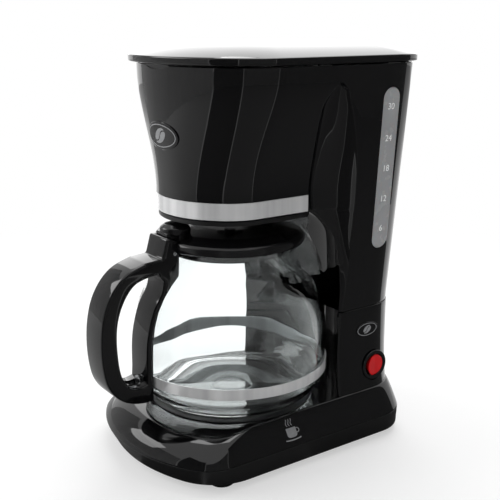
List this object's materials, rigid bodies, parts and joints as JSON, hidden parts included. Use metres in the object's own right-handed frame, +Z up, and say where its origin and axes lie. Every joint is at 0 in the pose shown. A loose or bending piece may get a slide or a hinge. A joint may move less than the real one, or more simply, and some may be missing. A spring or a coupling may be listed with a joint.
{
  "type": "drip coffee maker",
  "caption": "Drip coffee maker with a flared brew bucket, rear water column with gauge, warming plate and glass carafe.",
  "frame": {"origin": "middle of the footprint of the whole object, carafe handle included, on the surface it stands on", "axes": "+Z up, front of the machine and carafe handle towards -Y, water gauge and power switch on +X"},
  "size_m": [0.1646, 0.2488, 0.3079],
  "materials": {
    "gloss_abs": "high gloss moulded ABS, deep black",
    "satin_pp": "satin moulded polypropylene, black",
    "brushed_band": "brushed stainless strip",
    "steel": "bright stainless steel",
    "carafe_glass": "clear borosilicate glass",
    "gauge": "smoky translucent polypropylene",
    "plate_coating": "black non-stick coating on a steel plate",
    "rubber": "matt black rubber",
    "silicone": "milky silicone",
    "aluminium": "drawn aluminium",
    "brass": "bare brass",
    "tank_pp": "translucent grey polypropylene",
    "filter_mesh": "fine gold-toned filter mesh",
    "rocker_red": "translucent red polycarbonate",
    "badge": "grey badge"
  },
  "bodies": {
    "machine": {"main_housing": "gloss_abs", "bucket_band": "brushed_band", "bucket_trim": "satin_pp", "gauge_window": "gauge", "water_tank": "tank_pp", "check_valve": "silicone", "inlet_hose": "silicone", "riser_hose": "silicone", "riser_socket": "satin_pp", "base_shell": "gloss_abs", "bottom_cover": "satin_pp", "cover_screw_1": "steel", "cover_screw_2": "steel", "cover_screw_3": "steel", "cover_screw_4": "steel", "foot_front_left": "rubber", "foot_front_right": "rubber", "foot_rear_left": "rubber", "foot_rear_right": "rubber", "cord_grommet": "rubber", "warming_plate": "plate_coating", "plate_seal": "silicone", "heating_tube": "aluminium", "heating_element": "steel", "heater_bracket": "steel", "bracket_screw": "steel", "thermostat": "brass", "thermal_fuse": "tank_pp", "terminal_block": "tank_pp", "hose_clamp_inlet": "steel", "hose_clamp_riser": "steel", "switch_bezel": "satin_pp", "switch_body": "satin_pp", "front_badge": "badge", "side_badge": "badge", "lid_hinge_pin_left": "steel", "lid_hinge_pin_right": "steel"},
    "lid": {"lid": "gloss_abs"},
    "shower_arm": {"shower_arm": "satin_pp"},
    "basket": {"filter_basket": "satin_pp", "permanent_filter_frame": "satin_pp", "permanent_filter_mesh": "filter_mesh"},
    "drip_stop": {"drip_stop_valve": "satin_pp", "drip_stop_seal": "silicone", "drip_stop_spring": "steel"},
    "rocker": {"switch_rocker": "rocker_red"},
    "carafe": {"carafe_glass": "carafe_glass", "carafe_band": "brushed_band", "carafe_handle": "gloss_abs", "handle_screw": "steel", "carafe_lid_pin": "steel"},
    "carafe_lid": {"carafe_lid": "gloss_abs"}
  },
  "joints": [
    {"name": "lid_hinge", "type": "hinge", "parent": "machine", "child": "lid", "pos_m": [0, 0.1184, 0.2945], "axis": [-1, 0, 0], "range_deg": [0, 90]},
    {"name": "shower_arm_swivel", "type": "hinge", "parent": "machine", "child": "shower_arm", "pos_m": [0, 0.0664, 0.283], "axis": [0, 0, 1], "range_deg": [0, 50]},
    {"name": "basket_lift", "type": "slide", "parent": "machine", "child": "basket", "axis": [0, 0, 1], "range_m": [0, 0.006]},
    {"name": "drip_stop_travel", "type": "slide", "parent": "basket", "child": "drip_stop", "axis": [0, 0, 1], "range_m": [0, 0.003], "stiffness_N_per_m": 120},
    {"name": "switch_rock", "type": "hinge", "parent": "machine", "child": "rocker", "pos_m": [0.0626, 0.0879, 0.0565], "axis": [0, 0, 1], "range_deg": [-14, 0]},
    {"name": "carafe_slide", "type": "slide", "parent": "machine", "child": "carafe", "axis": [0, -1, 0], "range_m": [0, 0.22]},
    {"name": "carafe_lid_hinge", "type": "hinge", "parent": "carafe", "child": "carafe_lid", "pos_m": [0, -0.0634, 0.1604], "axis": [1, 0, 0], "range_deg": [0, 3]}
  ]
}
